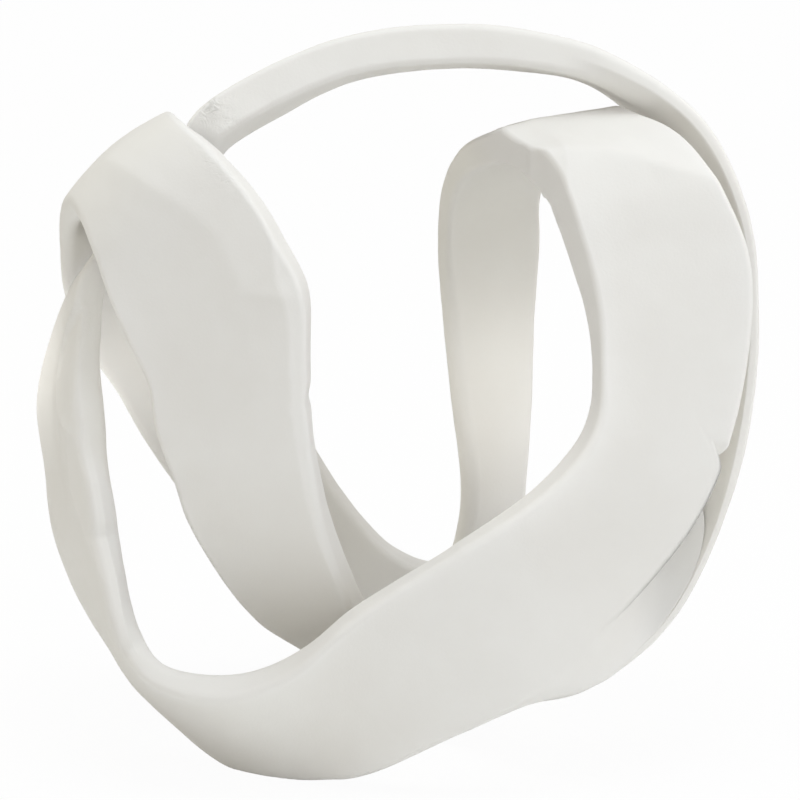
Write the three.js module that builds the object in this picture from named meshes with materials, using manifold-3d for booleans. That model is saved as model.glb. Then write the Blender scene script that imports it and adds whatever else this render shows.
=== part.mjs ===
// A knot sculpture: one flat band with rounded edges that runs in a closed loop, wraps over itself at
// the upper left, folds back over a crest at the upper right and stands on three ground flats.
// It is cast in sections, and each joint is a dressed butt joint over two blind dowels.
// Units are millimetres, +Z up, +X right and +Y away from the viewer.

import * as THREE from 'three';
import { mergeVertices } from 'three/addons/utils/BufferGeometryUtils.js';
import Module from 'manifold-3d';

const wasm = await Module();
wasm.setup();

// The knot's overall size. The route below is drawn at DRAWN_SIZE and laid out to this one.
const KNOT_WIDTH = 240;
const KNOT_DEPTH = 139;
const KNOT_HEIGHT = 246;
const DRAWN_SIZE = new THREE.Vector3(240, 139, 246);

// The band's thickness on each stretch
const HOOP_TOP = 15;
const HOOP_SIDE = 9.5;
const HOOP_LOW = 8.5;
const TWIST = 12.5;
const FRONT = 12;
const CREST = 13.5;
const REAR = 9.5;
const FOLD = 9.5;

// Bonded joints: the cut between two sections, and the dowels that line them up
const JOINT_GAP = 0.6;
const DOWEL_DIAMETER = 4;
const DOWEL_LENGTH = 14;
const DOWEL_SPACING = 11;
const DOWEL_CLEARANCE = 0.3;

// How square the band's corners are: 2 is an ellipse, and more is flatter and sharper
const CORNER_SQUARENESS = 4;

// The heights in the route are heights as seen by a viewer who looks down by this angle
const LOOK_DOWN = THREE.MathUtils.degToRad(20);

// Where the middle of the knot lies in the route's own right and back distances
const MIDDLE_RIGHT = -0.7;
const MIDDLE_BACK = 80.4;

// Mesh fineness, the least step between two rings, and how close two corners are one point
const RINGS_PER_STATION = 2;
const POINTS_AROUND = 20;
const DOWEL_SIDES = 12;
const LEAST_STEP = 0.1;
const SAME_POINT = 0.0001;

// The block that stands for everything under the floor
const FLOOR_SIZE = 400;

// The route of the band, in order round the loop. The leading edge is the one that faces the viewer on
// the hoop, and it is the upper or inner edge elsewhere. Each edge point is [right, back, seen height].
const ROUTE = [
  { name: 'hoop foot', lead: [57, 31, 41], trail: [50, 70, 65], thick: HOOP_LOW },
  { name: 'hoop foot right', lead: [76, 36, 52], trail: [61, 75, 73], thick: HOOP_LOW },
  { name: 'hoop lower right', lead: [92.5, 48, 68.5], trail: [72.5, 86, 87], thick: HOOP_LOW },
  { name: 'hoop right low', lead: [105.6, 60, 97], trail: [86.1, 98, 109.5], thick: HOOP_LOW },
  { name: 'hoop right', lead: [114, 69, 131.5], trail: [97.2, 108, 139.5], thick: HOOP_SIDE },
  { name: 'hoop right middle', lead: [116.4, 74, 165], trail: [101.4, 113, 172], thick: HOOP_SIDE },
  { name: 'hoop right high', lead: [113.2, 77, 198.5], trail: [100.8, 116, 201.5], thick: HOOP_SIDE },
  { name: 'hoop shoulder', lead: [98.2, 81, 229.2], trail: [90.7, 120, 227.2], thick: HOOP_SIDE + 0.5 },
  { name: 'hoop top right', lead: [69.9, 85, 247.8], trail: [66.6, 125, 247.5], thick: HOOP_TOP - 4.5 },
  { name: 'hoop top', lead: [40, 87, 255.2], trail: [39, 128, 253.7], thick: HOOP_TOP - 1.5 },
  { name: 'hoop top middle', lead: [10, 87, 256.2], trail: [10, 129, 254.7], thick: HOOP_TOP - 0.6 },
  { name: 'hoop top left', lead: [-18.2, 82, 252.3], trail: [-16.2, 123, 250.3], thick: HOOP_TOP - 1 },
  { name: 'hoop left', lead: [-42.7, 73, 242.6], trail: [-40.7, 113, 239.1], thick: HOOP_TOP - 1 },
  { name: 'hoop into the fold', lead: [-63.3, 63, 230], trail: [-60.5, 98, 226.5], thick: HOOP_TOP - 1.5 },
  { name: 'under the ridge', lead: [-70.5, 61, 215.5], trail: [-69.5, 94, 212.5], thick: TWIST - 0.5 },
  { name: 'inside the fold', lead: [-83.5, 62, 199.5], trail: [-84.5, 95, 196.5], thick: TWIST - 2 },
  { name: 'out of the fold', lead: [-100.5, 61, 180], trail: [-104.5, 91, 175.5], thick: TWIST - 2.5 },
  { name: 'twist top', lead: [-104, 56, 158], trail: [-113, 94, 155.5], thick: TWIST - 1.5 },
  { name: 'twist upper', lead: [-103.5, 47, 138], trail: [-116.5, 86, 136.5], thick: TWIST },
  { name: 'twist middle', lead: [-101.4, 41, 117.5], trail: [-113.7, 80, 116.5], thick: TWIST + 1 },
  { name: 'twist lower', lead: [-97.7, 35, 98], trail: [-110.9, 74, 97], thick: TWIST + 1.5 },
  { name: 'twist foot', lead: [-94.3, 29, 80], trail: [-104.5, 68, 76.5], thick: TWIST - 0.5 },
  { name: 'turn to the front', lead: [-90.1, 23, 60.2], trail: [-94.1, 60, 58], thick: TWIST - 2.5 },
  { name: 'front start', lead: [-81, 18, 47], trail: [-83.7, 57, 42.5], thick: FRONT - 2 },
  { name: 'front left', lead: [-63.5, 15, 43.1], trail: [-60.9, 53, 22.7], thick: FRONT },
  { name: 'front foot', lead: [-47.5, 14, 45.8], trail: [-46.7, 45, 15.8], thick: FRONT },
  { name: 'front foot right', lead: [-32.5, 14, 53.5], trail: [-30.5, 37, 13.5], thick: FRONT },
  { name: 'front rise', lead: [-17.5, 16, 66.5], trail: [-11.5, 28, 14.3], thick: FRONT },
  { name: 'front middle', lead: [0, 18, 78.5], trail: [12, 22, 23.9], thick: FRONT },
  { name: 'front right', lead: [18.5, 20, 90.5], trail: [37, 22, 37.5], thick: FRONT },
  { name: 'front lower right', lead: [38.5, 23, 103.5], trail: [60, 29, 56.5], thick: FRONT },
  { name: 'right bend', lead: [52.5, 27, 115.5], trail: [81.5, 38, 78], thick: FRONT },
  { name: 'right bend upper', lead: [61.8, 31, 129.5], trail: [100, 45, 103], thick: FRONT },
  { name: 'right side low', lead: [64.3, 35, 146.5], trail: [111.5, 51, 133], thick: FRONT },
  { name: 'right side', lead: [61.5, 39, 166.5], trail: [116.5, 56, 164], thick: FRONT },
  { name: 'right side high', lead: [55.7, 45, 185.5], trail: [115.5, 60, 188.5], thick: FRONT + 0.5 },
  { name: 'crest front', lead: [50.5, 52, 201.5], trail: [105, 66, 210], thick: CREST },
  { name: 'crest edge', lead: [44.5, 63, 212.3], trail: [90, 79, 224.5], thick: CREST + 0.5 },
  { name: 'crest', lead: [33, 83, 220.8], trail: [68.5, 102, 228.9], thick: CREST },
  { name: 'crest back', lead: [21, 106, 217.5], trail: [51, 126, 222.5], thick: CREST - 1.5 },
  { name: 'rear top', lead: [14.9, 119, 208], trail: [46.5, 137, 207.5], thick: REAR + 0.5 },
  { name: 'rear high', lead: [13, 123, 189.9], trail: [46, 142, 190.7], thick: REAR },
  { name: 'rear upper middle', lead: [14.7, 125, 162.3], trail: [44.3, 146, 164.4], thick: REAR },
  { name: 'rear middle', lead: [17.6, 128, 136.6], trail: [43.1, 148, 138.4], thick: REAR },
  { name: 'rear low', lead: [20.6, 132, 110.8], trail: [41.6, 147.5, 111.8], thick: REAR },
  { name: 'rear bend start', lead: [19.2, 136, 95.4], trail: [38.5, 147, 83.2], thick: REAR },
  { name: 'rear bend', lead: [15.5, 140, 85], trail: [25, 146, 57.5], thick: REAR },
  { name: 'rear foot', lead: [8, 139, 83.5], trail: [0.5, 146, 49], thick: REAR + 0.5 },
  { name: 'rear rise', lead: [-4.5, 137, 90.1], trail: [-25, 144, 59.5], thick: REAR + 0.5 },
  { name: 'back strap low', lead: [-17.5, 134, 104.9], trail: [-49.5, 141, 79.5], thick: REAR + 0.5 },
  { name: 'back strap', lead: [-28, 131, 121.4], trail: [-68, 137, 100], thick: REAR + 0.5 },
  { name: 'back strap middle', lead: [-36.9, 128, 139.1], trail: [-83.8, 133, 121.2], thick: REAR + 0.5 },
  { name: 'back strap high', lead: [-45.5, 125, 158.5], trail: [-95.5, 127, 141.5], thick: REAR + 0.5 },
  { name: 'fold approach', lead: [-52.5, 122, 179.5], trail: [-107.5, 120, 158.5], thick: REAR + 1 },
  { name: 'fold back', lead: [-59, 113, 202.5], trail: [-112.6, 109, 174], thick: FOLD - 1 },
  { name: 'fold rise', lead: [-70.5, 100, 224.5], trail: [-114, 98, 188.9], thick: FOLD, bow: 1.5 },
  { name: 'fold ridge', lead: [-73, 78, 231.3], trail: [-111.2, 76, 198], thick: FOLD, bow: 3.5 },
  { name: 'fold front', lead: [-70.6, 57, 230.1], trail: [-107, 60, 198.5], thick: FOLD, bow: 3 },
  { name: 'shoulder', lead: [-60.3, 44, 221.3], trail: [-101.8, 49, 187.5], thick: FOLD + 1, bow: 2 },
  { name: 'shoulder front', lead: [-46.5, 35, 204.7], trail: [-96, 44, 171.5], thick: FOLD + 2 },
  { name: 'left front high', lead: [-36.4, 29, 186.5], trail: [-89.5, 41, 157.5], thick: FRONT },
  { name: 'left front bulge', lead: [-30.5, 26, 168.5], trail: [-83.5, 38, 144.5], thick: FRONT },
  { name: 'left front', lead: [-29.5, 25, 149.5], trail: [-81, 37, 129.5], thick: FRONT },
  { name: 'left front middle', lead: [-29, 26, 131.5], trail: [-76, 39, 114.5], thick: FRONT },
  { name: 'left front low', lead: [-26.5, 29, 113], trail: [-70.6, 44, 99.5], thick: FRONT },
  { name: 'left front taper', lead: [-22.5, 34, 94.5], trail: [-61.5, 52, 84.4], thick: FRONT },
  { name: 'dive', lead: [-16.5, 39, 78], trail: [-47, 62, 67], thick: FRONT - 0.5 },
  { name: 'dive behind the front', lead: [-11.5, 44, 64], trail: [-28.8, 76, 55.5], thick: FRONT - 1 },
  { name: 'under bend', lead: [-4.5, 52, 44.5], trail: [-18, 92, 41.5], thick: FRONT - 2 },
  { name: 'under foot', lead: [3, 63, 25], trail: [0, 104, 39.5], thick: FRONT - 2 },
  { name: 'under rise', lead: [15, 67, 28.7], trail: [15, 106, 41.5], thick: FRONT - 2 },
  { name: 'under to hoop', lead: [37, 43, 37.5], trail: [36, 82, 53], thick: HOOP_LOW + 0.5 },
];

// The sections that the band is cast in, each from one joint to the next, in stations along the route
const SECTIONS = [
  { name: 'side_hoop', from: 2.6, to: 7.6 },
  { name: 'top_hoop', from: 7.6, to: 12.5 },
  { name: 'fold_pass_strand', from: 12.5, to: 16.8 },
  { name: 'left_twist_strap', from: 16.8, to: 22.6 },
  { name: 'front_left_band', from: 22.6, to: 27.5 },
  { name: 'front_right_band', from: 27.5, to: 32.5 },
  { name: 'right_side_band', from: 32.5, to: 35.4 },
  { name: 'crest_arch', from: 35.4, to: 41.4, rings: 3 },
  { name: 'rear_strap', from: 41.4, to: 44.3 },
  { name: 'rear_bend', from: 44.3, to: 49.4 },
  { name: 'back_strap', from: 49.4, to: 53.2 },
  { name: 'left_fold', from: 53.2, to: 59.5, rings: 3 },
  { name: 'left_front_strap', from: 59.5, to: 65.5 },
  { name: 'under_bend', from: 65.5, to: 70.6 },
  { name: 'hoop_foot', from: 70.6, to: 74.6 },
];

// Turns a route point into a real one: the seen height takes in how far back the point lies, and the
// origin is moved to the floor under the middle of the knot
function place([right, back, seen]) {
  const height = (seen - back * Math.sin(LOOK_DOWN)) / Math.cos(LOOK_DOWN);
  const drawn = new THREE.Vector3(right - MIDDLE_RIGHT, back - MIDDLE_BACK, height);
  return drawn.multiply(new THREE.Vector3(KNOT_WIDTH, KNOT_DEPTH, KNOT_HEIGHT)).divide(DRAWN_SIZE);
}

const LEAD = ROUTE.map((station) => place(station.lead));
const TRAIL = ROUTE.map((station) => place(station.trail));
const BUILD = ROUTE.map(({ thick, bow = 0 }) => new THREE.Vector3(thick, bow, 0));

// A smooth closed curve through the given points: its value and slope at a station number
function along(points, at) {
  const start = Math.floor(at);
  const t = at - start;
  const count = points.length;
  const [p0, p1, p2, p3] = [-1, 0, 1, 2].map((step) => points[(start + step + count) % count]);
  const linear = p2.clone().sub(p0);
  const square = p0.clone().multiplyScalar(2).addScaledVector(p1, -5).addScaledVector(p2, 4).sub(p3);
  const cube = p1.clone().multiplyScalar(3).addScaledVector(p2, -3).add(p3).sub(p0);
  const value = p1.clone().addScaledVector(linear, t / 2).addScaledVector(square, (t * t) / 2)
    .addScaledVector(cube, (t * t * t) / 2);
  const slope = linear.multiplyScalar(0.5).addScaledVector(square, t).addScaledVector(cube, 1.5 * t * t);
  return { value, slope };
}

// The band at a station number: its centre, the directions across it, along it and out of its face
function frameAt(at) {
  const lead = along(LEAD, at);
  const trail = along(TRAIL, at);
  const across = trail.value.clone().sub(lead.value);
  const width = across.length();
  across.normalize();
  const travel = lead.slope.clone().add(trail.slope).multiplyScalar(0.5);
  const speed = travel.length();
  travel.addScaledVector(across, -travel.dot(across)).normalize();
  const build = along(BUILD, at).value;
  return {
    centre: lead.value.clone().add(trail.value).multiplyScalar(0.5),
    across,
    travel,
    face: new THREE.Vector3().crossVectors(across, travel),
    width,
    thick: build.x,
    bow: build.y,
    speed,
  };
}

// One ring of points round the band: a flat bar with softly rounded corners, bowed out where it folds
function ringAt(at) {
  const { centre, across, face, width, thick, bow } = frameAt(at);
  const ring = [];
  for (let i = 0; i < POINTS_AROUND; i += 1) {
    const angle = (i / POINTS_AROUND) * 2 * Math.PI;
    const wide = Math.sign(Math.cos(angle)) * Math.abs(Math.cos(angle)) ** (2 / CORNER_SQUARENESS);
    const deep = Math.sign(Math.sin(angle)) * Math.abs(Math.sin(angle)) ** (2 / CORNER_SQUARENESS);
    const out = (deep * thick) / 2 + bow * (1 - wide * wide);
    ring.push(centre.clone().addScaledVector(across, (wide * width) / 2).addScaledVector(face, out));
  }
  return ring;
}

// A closed solid through a run of rings, with a flat cap at each end
function solidThrough(rings) {
  const positions = [];
  const corners = [];
  for (const ring of rings) {
    for (const point of ring) positions.push(point.x, point.y, point.z);
  }
  const last = rings.length - 1;
  for (let r = 0; r < last; r += 1) {
    for (let i = 0; i < POINTS_AROUND; i += 1) {
      const next = (i + 1) % POINTS_AROUND;
      const a = r * POINTS_AROUND + i;
      const b = r * POINTS_AROUND + next;
      const c = a + POINTS_AROUND;
      const d = b + POINTS_AROUND;
      corners.push(a, c, b, b, c, d);
    }
  }
  for (const end of [0, last]) {
    const middle = new THREE.Vector3();
    for (const point of rings[end]) middle.addScaledVector(point, 1 / POINTS_AROUND);
    const hub = positions.length / 3;
    positions.push(middle.x, middle.y, middle.z);
    for (let i = 0; i < POINTS_AROUND; i += 1) {
      const a = end * POINTS_AROUND + i;
      const b = end * POINTS_AROUND + ((i + 1) % POINTS_AROUND);
      if (end === 0) corners.push(hub, a, b);
      else corners.push(hub, b, a);
    }
  }
  const geometry = new THREE.BufferGeometry();
  geometry.setAttribute('position', new THREE.Float32BufferAttribute(positions, 3));
  geometry.setIndex(corners);
  return geometry;
}

// Between a three.js geometry and a solid that can be joined and cut
function toSolid(geometry) {
  const bare = geometry.clone();
  bare.deleteAttribute('normal');
  bare.deleteAttribute('uv');
  const merged = mergeVertices(bare, SAME_POINT);
  return new wasm.Manifold(new wasm.Mesh({
    numProp: 3,
    vertProperties: new Float32Array(merged.attributes.position.array),
    triVerts: new Uint32Array(merged.index.array),
  }));
}

function toGeometry(solid) {
  const mesh = solid.getMesh();
  const geometry = new THREE.BufferGeometry();
  geometry.setAttribute('position', new THREE.Float32BufferAttribute(mesh.vertProperties, 3));
  geometry.setIndex(Array.from(mesh.triVerts));
  geometry.computeVertexNormals();
  return geometry;
}

// A round bar lying along the band at a joint, on one side of its centre line
function dowelAt(at, side, diameter, length) {
  const { centre, across, travel } = frameAt(at);
  const bar = new THREE.CylinderGeometry(diameter / 2, diameter / 2, length, DOWEL_SIDES);
  const turn = new THREE.Quaternion().setFromUnitVectors(new THREE.Vector3(0, 1, 0), travel);
  const middle = centre.clone().addScaledVector(across, (side * DOWEL_SPACING) / 2);
  return bar.applyMatrix4(new THREE.Matrix4().compose(middle, turn, new THREE.Vector3(1, 1, 1)));
}

// The two blind bores that a joint's dowels sit in
function boresAt(at) {
  const diameter = DOWEL_DIAMETER + 2 * DOWEL_CLEARANCE;
  const length = DOWEL_LENGTH + 2 * DOWEL_CLEARANCE;
  return [-1, 1].map((side) => toSolid(dowelAt(at, side, diameter, length)));
}

// Everything under the floor plane, which the flats are ground to
function underFloor() {
  const block = new THREE.BoxGeometry(FLOOR_SIZE, FLOOR_SIZE, FLOOR_SIZE);
  block.translate(0, 0, -FLOOR_SIZE / 2);
  return toSolid(block);
}

// One cast section of the band, cut back by half a joint at each end, bored and ground flat
function castSection({ from, to, rings = RINGS_PER_STATION }, floor) {
  const start = from + JOINT_GAP / 2 / frameAt(from).speed;
  const end = to - JOINT_GAP / 2 / frameAt(to).speed;
  const inner = [];
  for (let step = Math.floor(from * rings) + 1; step / rings < to; step += 1) {
    const at = step / rings;
    if (at - start > LEAST_STEP && end - at > LEAST_STEP) inner.push(at);
  }
  let solid = toSolid(solidThrough([start, ...inner, end].map(ringAt)));
  for (const bore of [...boresAt(from), ...boresAt(to)]) solid = solid.subtract(bore);
  return toGeometry(solid.subtract(floor));
}

const castFinish = new THREE.MeshStandardMaterial({ color: 0xe3e1db, roughness: 0.85, metalness: 0 });
const dowelFinish = new THREE.MeshStandardMaterial({ color: 0x9c9d9f, roughness: 0.4, metalness: 1 });

const knot = new THREE.Group();
const floor = underFloor();

for (const section of SECTIONS) {
  const mesh = new THREE.Mesh(castSection(section, floor), castFinish.clone());
  mesh.name = section.name;
  knot.add(mesh);
}

for (const section of SECTIONS) {
  for (const [side, label] of [[-1, 'a'], [1, 'b']]) {
    const bar = toGeometry(toSolid(dowelAt(section.from, side, DOWEL_DIAMETER, DOWEL_LENGTH)));
    const mesh = new THREE.Mesh(bar, dowelFinish.clone());
    mesh.name = `${section.name}_dowel_${label}`;
    knot.add(mesh);
  }
}

export default knot;
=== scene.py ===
import math

import bpy
import numpy as np
from mathutils import Matrix, Vector


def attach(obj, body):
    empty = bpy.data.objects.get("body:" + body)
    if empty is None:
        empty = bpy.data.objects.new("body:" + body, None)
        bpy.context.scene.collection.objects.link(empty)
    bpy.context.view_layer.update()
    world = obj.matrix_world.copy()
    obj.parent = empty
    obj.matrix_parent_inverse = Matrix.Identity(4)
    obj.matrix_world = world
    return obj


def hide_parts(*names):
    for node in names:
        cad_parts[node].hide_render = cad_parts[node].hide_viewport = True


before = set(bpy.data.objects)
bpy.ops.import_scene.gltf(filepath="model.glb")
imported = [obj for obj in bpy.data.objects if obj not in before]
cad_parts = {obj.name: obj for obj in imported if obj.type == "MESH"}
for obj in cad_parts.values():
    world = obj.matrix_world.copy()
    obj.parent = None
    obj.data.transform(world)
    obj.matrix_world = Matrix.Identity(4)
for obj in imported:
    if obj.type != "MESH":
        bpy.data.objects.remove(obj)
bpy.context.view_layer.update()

# A knot sculpture: one flat band in a closed loop, cast off white and dressed by hand.
# Sizes are millimetres where no comment says metres, and every mesh is made in metres.
MM = 0.001

# The route's viewer looks down by this angle, and the part's middle lies here on the route's axes
LOOK_DOWN = math.radians(20)
MIDDLE_RIGHT = -0.7
MIDDLE_BACK = 80.4

# The band's thickness on each stretch
HOOP_TOP = 15
HOOP_SIDE = 9.5
HOOP_LOW = 8.5
TWIST = 12.5
FRONT = 12
CREST = 13.5
REAR = 9.5
FOLD = 9.5

# The lowest bends are ground flat at the floor
FLOOR_HEIGHT = 0

# Fineness of the band's skin: the steps in which the route is measured, the step from ring to ring,
# and the points on a face, a corner and a rim
STEPS_PER_STATION = 50
RING_STEP = 1.2
FACE_POINTS = 48
CORNER_POINTS = 7
RIM_POINTS = 12

# How much the points of a face gather towards its two edges
FACE_GATHERING = 0.4

# The route: name, leading edge, trailing edge, thickness, bow. An edge point is right, back and
# the height at which the viewer sees it.
ROUTE = [
    ("hoop foot", (57, 31, 41), (50, 70, 65), HOOP_LOW, 0),
    ("hoop foot right", (76.2, 36, 52.2), (61.2, 75, 73.2), HOOP_LOW, 0),
    ("hoop lower right", (92.2, 48, 68.9), (72.2, 86, 87.4), HOOP_LOW, 0),
    ("hoop right low", (105.7, 60, 97), (86.2, 98, 109.5), HOOP_LOW, 0),
    ("hoop right", (114, 69, 131.5), (97.2, 108, 139.5), HOOP_SIDE, 0),
    ("hoop right middle", (116.4, 74, 165), (101.4, 113, 172), HOOP_SIDE, 0),
    ("hoop right high", (112.9, 77, 198.5), (99.5, 116, 201.5), HOOP_SIDE + 0.5, 0),
    ("hoop shoulder", (97.5, 81, 228.5), (89, 120, 226), HOOP_SIDE + 1.5, 0),
    ("hoop top right", (69.7, 85, 247.4), (66.4, 125, 247.1), HOOP_TOP - 3, 0),
    ("hoop top", (40, 87, 255.2), (39, 128, 253.7), HOOP_TOP - 1.5, 0),
    ("hoop top middle", (10, 87, 256.2), (10, 129, 254.7), HOOP_TOP - 0.6, 0),
    ("hoop top left", (-18.2, 82, 252.3), (-16.2, 123, 250.3), HOOP_TOP - 1, 0),
    ("hoop left", (-42.7, 73, 242.6), (-40.7, 113, 239.1), HOOP_TOP - 1, 0),
    ("hoop into the fold", (-63.3, 63, 230), (-60.5, 98, 226.5), HOOP_TOP - 1.5, 0),
    ("under the ridge", (-70.5, 61, 215.5), (-69.5, 94, 212.5), TWIST - 0.5, 0),
    ("inside the fold", (-83.5, 62, 199.5), (-84.5, 95, 196.5), TWIST - 2, 0),
    ("out of the fold", (-100.5, 61, 180), (-104.5, 91, 175.5), TWIST - 2.5, 0),
    ("twist top", (-104, 56, 158), (-113, 94, 155.5), TWIST - 1.5, 0),
    ("twist upper", (-103.5, 47, 138), (-116.5, 86, 136.5), TWIST, 0),
    ("twist middle", (-101.4, 41, 117.5), (-113.7, 80, 116.5), TWIST + 1, 0),
    ("twist lower", (-97.7, 35, 98), (-110.9, 74, 97), TWIST + 1.5, 0),
    ("twist foot", (-94.3, 29, 80), (-104.5, 68, 76.5), TWIST - 0.5, 0),
    ("turn to the front", (-90.1, 23, 60.2), (-94.1, 60, 58), TWIST - 2.5, 0),
    ("front start", (-81, 18, 47), (-83.7, 57, 42.5), FRONT - 2, 0),
    ("front left", (-63.5, 15, 43.1), (-60.9, 53, 22.7), FRONT, 0),
    ("front foot", (-47.5, 14, 45.8), (-46.7, 45, 15.8), FRONT, 0),
    ("front foot right", (-32.5, 14, 53.5), (-30.5, 37, 13.5), FRONT, 0),
    ("front rise", (-17.5, 16, 66.5), (-11.5, 28, 14.3), FRONT, 0),
    ("front middle", (0, 18, 78.5), (12, 22, 23.9), FRONT, 0),
    ("front right", (18.5, 20, 90.5), (37, 22, 37.5), FRONT, 0),
    ("front lower right", (38.5, 23, 103.5), (60, 29, 56.5), FRONT, 0),
    ("right bend", (52.5, 27, 115.5), (81.5, 38, 78), FRONT, 0),
    ("right bend upper", (61.8, 31, 129.5), (100, 45, 103), FRONT, 0),
    ("right side low", (64.3, 35, 146.5), (111.5, 51, 133), FRONT, 0),
    ("right side", (61.5, 39, 166.5), (116.5, 56, 164), FRONT, 0),
    ("right side high", (55.7, 45, 185.5), (115.5, 60, 188.5), FRONT + 0.5, 0),
    ("crest front", (50.5, 52, 201.5), (105, 66, 210), CREST, 0),
    ("crest edge", (44.5, 63, 212.3), (90, 79, 224.5), CREST + 0.5, 0),
    ("crest", (32, 83, 220.9), (68.5, 102, 227.9), CREST, 0),
    ("crest back", (21, 106, 218.5), (51, 126, 222.5), CREST - 1.5, 0),
    ("rear top", (14.9, 119, 208), (46.5, 137, 207.5), REAR + 0.5, 0),
    ("rear high", (13, 123, 189.9), (46, 142, 190.7), REAR, 0),
    ("rear upper middle", (14.7, 125, 162.3), (44.3, 146, 164.4), REAR, 0),
    ("rear middle", (17.6, 128, 136.6), (43.1, 148, 138.4), REAR, 0),
    ("rear low", (20.6, 132, 110.8), (41.6, 147.5, 111.8), REAR, 0),
    ("rear bend start", (19.2, 136, 95.4), (38.5, 147, 83.2), REAR, 0),
    ("rear bend", (15.5, 140, 85), (25, 146, 57.5), REAR, 0),
    ("rear foot", (8, 139, 83.5), (0.5, 146, 49), REAR + 0.5, 0),
    ("rear rise", (-4.5, 137, 90.1), (-25, 144, 59.5), REAR + 0.5, 0),
    ("back strap low", (-17.5, 134, 104.9), (-49.5, 141, 79.5), REAR + 0.5, 0),
    ("back strap", (-28, 131, 121.4), (-68, 137, 100), REAR + 0.5, 0),
    ("back strap middle", (-36.9, 128, 139.1), (-83.8, 133, 121.2), REAR + 0.5, 0),
    ("back strap high", (-45.5, 125, 158.5), (-95.5, 127, 141.5), REAR + 0.5, 0),
    ("fold approach", (-52.5, 122, 179.5), (-107.5, 120, 158.5), REAR + 1, 0),
    ("fold back", (-59, 113, 202.5), (-112.6, 109, 174), FOLD - 1, 0),
    ("fold rise", (-70.5, 100, 224.5), (-113.3, 98, 188.6), FOLD, 1.5),
    ("fold ridge", (-73, 78, 231.3), (-111.2, 76, 198), FOLD, 3.5),
    ("fold front", (-70.6, 57, 230.1), (-107, 60, 198.5), FOLD, 3),
    ("shoulder", (-60.3, 44, 221.3), (-101.8, 49, 187.5), FOLD + 1, 2),
    ("shoulder front", (-46.5, 35, 204.7), (-96, 44, 171.5), FOLD + 2, 0),
    ("left front high", (-36.4, 29, 186.5), (-89.5, 41, 157.5), FRONT, 0),
    ("left front bulge", (-30.5, 26, 168.5), (-83.5, 38, 144.5), FRONT, 0),
    ("left front", (-29.5, 25, 149.5), (-81, 37, 129.5), FRONT, 0),
    ("left front middle", (-29, 26, 131.5), (-76, 39, 114.5), FRONT, 0),
    ("left front low", (-26.5, 29, 113), (-70.6, 44, 99.5), FRONT, 0),
    ("left front taper", (-22.5, 34, 94.5), (-61.5, 52, 84.4), FRONT, 0),
    ("dive", (-16.5, 39, 78), (-47, 62, 67), FRONT - 0.5, 0),
    ("dive behind the front", (-11.5, 44, 64), (-28.8, 76, 55.5), FRONT - 1, 0),
    ("under bend", (-4.5, 52, 44.5), (-18, 92, 41.5), FRONT - 2, 0),
    ("under foot", (3, 63, 25), (0, 104, 39.5), FRONT - 2, 0),
    ("under rise", (15, 67, 28.7), (15, 106, 41.5), FRONT - 2, 0),
    ("under to hoop", (37, 43, 37.5), (36, 82, 53), HOOP_LOW + 0.5, 0),
]

# The cast sections, from one joint to the next, in stations along the route. The last one ends in
# the next lap, where the first begins.
SECTIONS = [
    ("side_hoop", 2.6, 7.6),
    ("top_hoop", 7.6, 12.5),
    ("fold_pass_strand", 12.5, 16.8),
    ("left_twist_strap", 16.8, 22.6),
    ("front_left_band", 22.6, 27.5),
    ("front_right_band", 27.5, 32.5),
    ("right_side_band", 32.5, 35.4),
    ("crest_arch", 35.4, 41.4),
    ("rear_strap", 41.4, 44.3),
    ("rear_bend", 44.3, 49.4),
    ("back_strap", 49.4, 53.2),
    ("left_fold", 53.2, 59.5),
    ("left_front_strap", 59.5, 65.5),
    ("under_bend", 65.5, 70.6),
    ("hoop_foot", 70.6, 74.6),
]

# Faces are a little full in the middle, and the skin lies a little inside the solid's faces and rims
CROWN = 0.4
FACE_INSET = 0.54
RIM_INSET = 0.9

# The most that a corner takes of half the thickness
CORNER_LIMIT = 0.9

# Station, and the corner radius there on the leading and on the trailing edge
EDGE_RADIUS = [
    (0, 2.0, 2.0),
    (6, 2.0, 2.0),
    (8, 2.6, 2.6),
    (14, 2.0, 2.0),
    (23, 3.2, 2.6),
    (33, 2.2, 2.6),
    (36, 1.3, 2.2),
    (41, 2.0, 2.0),
    (42, 4.2, 2.4),
    (45.5, 3.6, 2.4),
    (47, 2.0, 2.0),
    (53, 2.0, 3.4),
    (54, 2.0, 4.2),
    (57, 2.0, 4.2),
    (59, 1.8, 1.8),
    (66, 2.2, 2.2),
]

# The tables by station are read with their corners eased over this many stations to each side
EASE_REACH = 0.18
EASE_STEPS = 7

# Where the front band runs on into the hoop's foot: station, how far its trailing edge reaches on,
# how far the end of that reach falls back, and how deep it sags on the way
RUN_ON = [
    (28.5, 0, 0, 0),
    (28.9, 2.5, 1.0, 0),
    (29.4, 9.0, 3.0, 0),
    (29.8, 16, 3.6, 0),
    (30.2, 20, 3.2, 0),
    (30.5, 20, 3.6, 3),
    (30.7, 20, 4.2, 8),
    (30.9, 19.8, 5.4, 15),
    (31.1, 19.6, 6.8, 22),
    (31.3, 19.4, 9, 29),
    (31.45, 18.8, 10.5, 33),
    (31.6, 17.6, 12.5, 35),
    (31.75, 16.2, 14.5, 35),
    (31.9, 14, 17, 35),
    (32.05, 11, 20, 35),
    (32.2, 6, 26, 30),
    (32.35, 0, 32, 12),
    (32.5, 0, 0, 0),
]

# The stations over which the run-on starts, ends and turns from a soft fall to a crisp step
RUN_ON_STARTS = (27.9, 28.5)
RUN_ON_ENDS = (32.4, 32.95)
RUN_ON_CRISP = (30.4, 31.0)

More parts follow.
